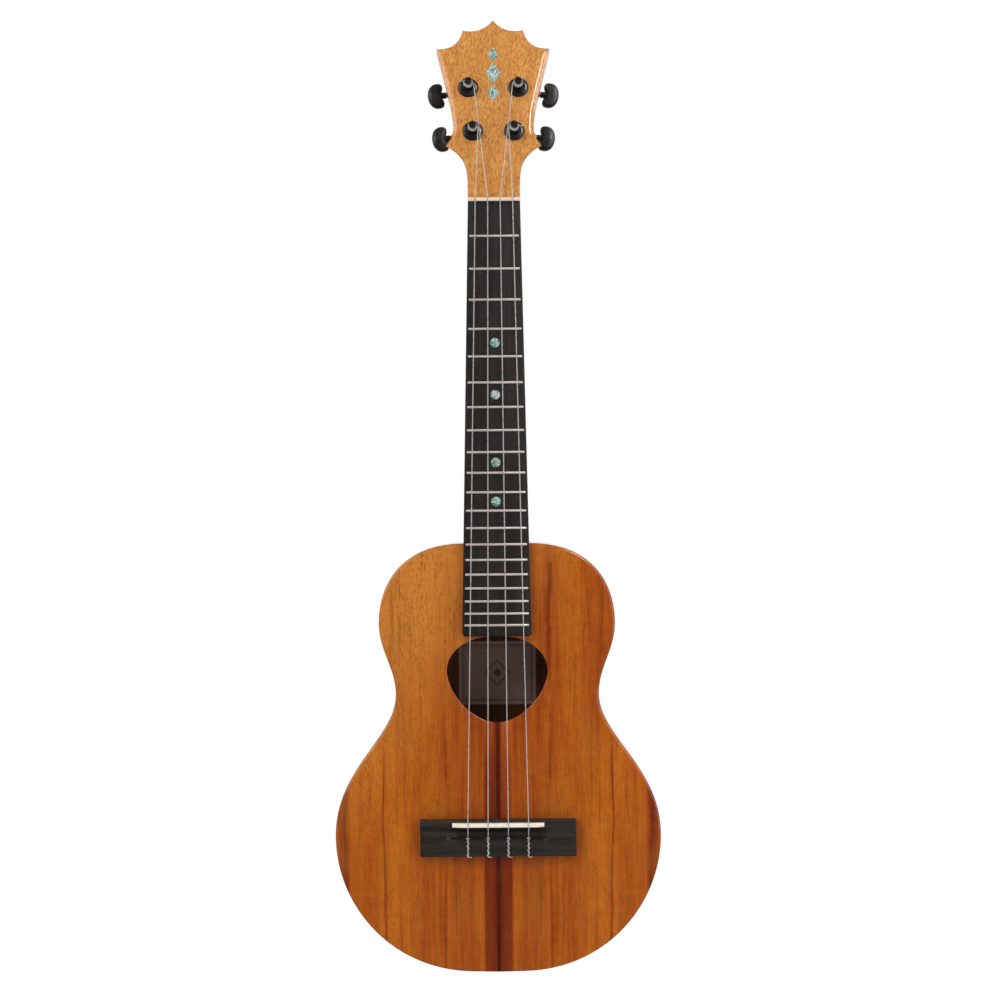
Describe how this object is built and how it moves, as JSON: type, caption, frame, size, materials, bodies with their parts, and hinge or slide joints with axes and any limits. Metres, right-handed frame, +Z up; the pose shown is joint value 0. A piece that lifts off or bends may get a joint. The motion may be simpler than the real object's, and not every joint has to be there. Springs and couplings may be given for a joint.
{
  "type": "ukulele",
  "caption": "Tenor ukulele with an hourglass koa body, egg-shaped soundhole, tie bridge, dark fretboard, scalloped head and geared tuners that turn.",
  "frame": {"origin": "on the centre line at the flare under the head, midway through the head's thickness, where the arms of a wall or stand hanger carry the instrument", "axes": "+Z up the neck from tail to head, -Y out of the soundboard and strings, +X to the right of a person facing the soundboard"},
  "size_m": [0.228, 0.0801, 0.6728],
  "materials": {
    "koa_top": "high gloss lacquer over figured, bookmatched koa",
    "koa_back": "high gloss lacquer over bookmatched koa",
    "koa_side": "high gloss lacquer over bent koa",
    "neck_wood": "satin lacquer over straight-grained mahogany",
    "brace_wood": "unfinished planed softwood",
    "dark_wood": "oiled near-black hardwood with fine pores",
    "bone": "polished cream bone",
    "pearl_shell": "polished iridescent shell",
    "fret_wire": "polished nickel alloy",
    "paper": "matt laid paper with a plain printed border",
    "string_line": "clear smooth monofilament",
    "black_hardware": "satin black plated metal",
    "black_button": "polished black moulded plastic",
    "shaft_steel": "turned steel with a thin oil film",
    "gear_brass": "milled brass"
  },
  "bodies": {
    "instrument": {"soundboard": "koa_top", "back_plate": "koa_back", "side_lower_left": "koa_side", "side_upper_left": "koa_side", "side_lower_right": "koa_side", "side_upper_right": "koa_side", "neck_block": "brace_wood", "tail_block": "brace_wood", "linings": "brace_wood", "cross_braces": "brace_wood", "fan_braces": "brace_wood", "bridge_plate": "brace_wood", "back_braces": "brace_wood", "label": "paper", "neck": "neck_wood", "heel_cap": "dark_wood", "neck_dowels": "brace_wood", "head_faceplate": "koa_top", "head_inlay": "pearl_shell", "nut": "bone", "fretboard": "dark_wood", "frets": "fret_wire", "position_dots": "pearl_shell", "side_dots": "bone", "bridge": "dark_wood", "saddle": "bone", "string_g": "string_line", "string_c": "string_line", "string_e": "string_line", "string_a": "string_line", "tuner_covers": "black_hardware", "tuner_screws": "black_hardware", "housing_g": "black_hardware", "bushing_g": "black_hardware", "housing_c": "black_hardware", "bushing_c": "black_hardware", "housing_e": "black_hardware", "bushing_e": "black_hardware", "housing_a": "black_hardware", "bushing_a": "black_hardware"},
    "key_g": {"worm_shaft_g": "shaft_steel", "button_g": "black_button"},
    "roller_g": {"gear_g": "gear_brass", "post_g": "black_hardware", "winding_g": "string_line"},
    "key_c": {"worm_shaft_c": "shaft_steel", "button_c": "black_button"},
    "roller_c": {"gear_c": "gear_brass", "post_c": "black_hardware", "winding_c": "string_line"},
    "key_e": {"worm_shaft_e": "shaft_steel", "button_e": "black_button"},
    "roller_e": {"gear_e": "gear_brass", "post_e": "black_hardware", "winding_e": "string_line"},
    "key_a": {"worm_shaft_a": "shaft_steel", "button_a": "black_button"},
    "roller_a": {"gear_a": "gear_brass", "post_a": "black_hardware", "winding_a": "string_line"}
  },
  "joints": [
    {"name": "button_turn_g", "type": "hinge", "parent": "instrument", "child": "key_g", "pos_m": [-0.02316, 0.01925, 0.02554], "axis": [-0.9903, -0.0337, -0.135], "continuous": true},
    {"name": "button_turn_c", "type": "hinge", "parent": "instrument", "child": "key_c", "pos_m": [-0.02621, 0.02721, 0.05747], "axis": [-0.9903, -0.0337, -0.135], "continuous": true},
    {"name": "button_turn_e", "type": "hinge", "parent": "instrument", "child": "key_e", "pos_m": [0.02621, 0.02721, 0.05747], "axis": [0.9903, -0.0337, -0.135], "continuous": true},
    {"name": "button_turn_a", "type": "hinge", "parent": "instrument", "child": "key_a", "pos_m": [0.02316, 0.01925, 0.02554], "axis": [0.9903, -0.0337, -0.135], "continuous": true},
    {"name": "post_turn_g", "type": "hinge", "parent": "instrument", "child": "roller_g", "pos_m": [-0.0146, 0.00047, 0.02668], "axis": [0, -0.9703, 0.2419], "continuous": true},
    {"name": "post_turn_c", "type": "hinge", "parent": "instrument", "child": "roller_c", "pos_m": [-0.01765, 0.00843, 0.0586], "axis": [0, -0.9703, 0.2419], "continuous": true},
    {"name": "post_turn_e", "type": "hinge", "parent": "instrument", "child": "roller_e", "pos_m": [0.01765, 0.00843, 0.0586], "axis": [0, -0.9703, 0.2419], "continuous": true},
    {"name": "post_turn_a", "type": "hinge", "parent": "instrument", "child": "roller_a", "pos_m": [0.0146, 0.00047, 0.02668], "axis": [0, -0.9703, 0.2419], "continuous": true}
  ],
  "couplings": [
    {"joint": "post_turn_g", "follows": "button_turn_g", "ratio": 0.071429},
    {"joint": "post_turn_c", "follows": "button_turn_c", "ratio": 0.071429},
    {"joint": "post_turn_e", "follows": "button_turn_e", "ratio": 0.071429},
    {"joint": "post_turn_a", "follows": "button_turn_a", "ratio": 0.071429}
  ]
}
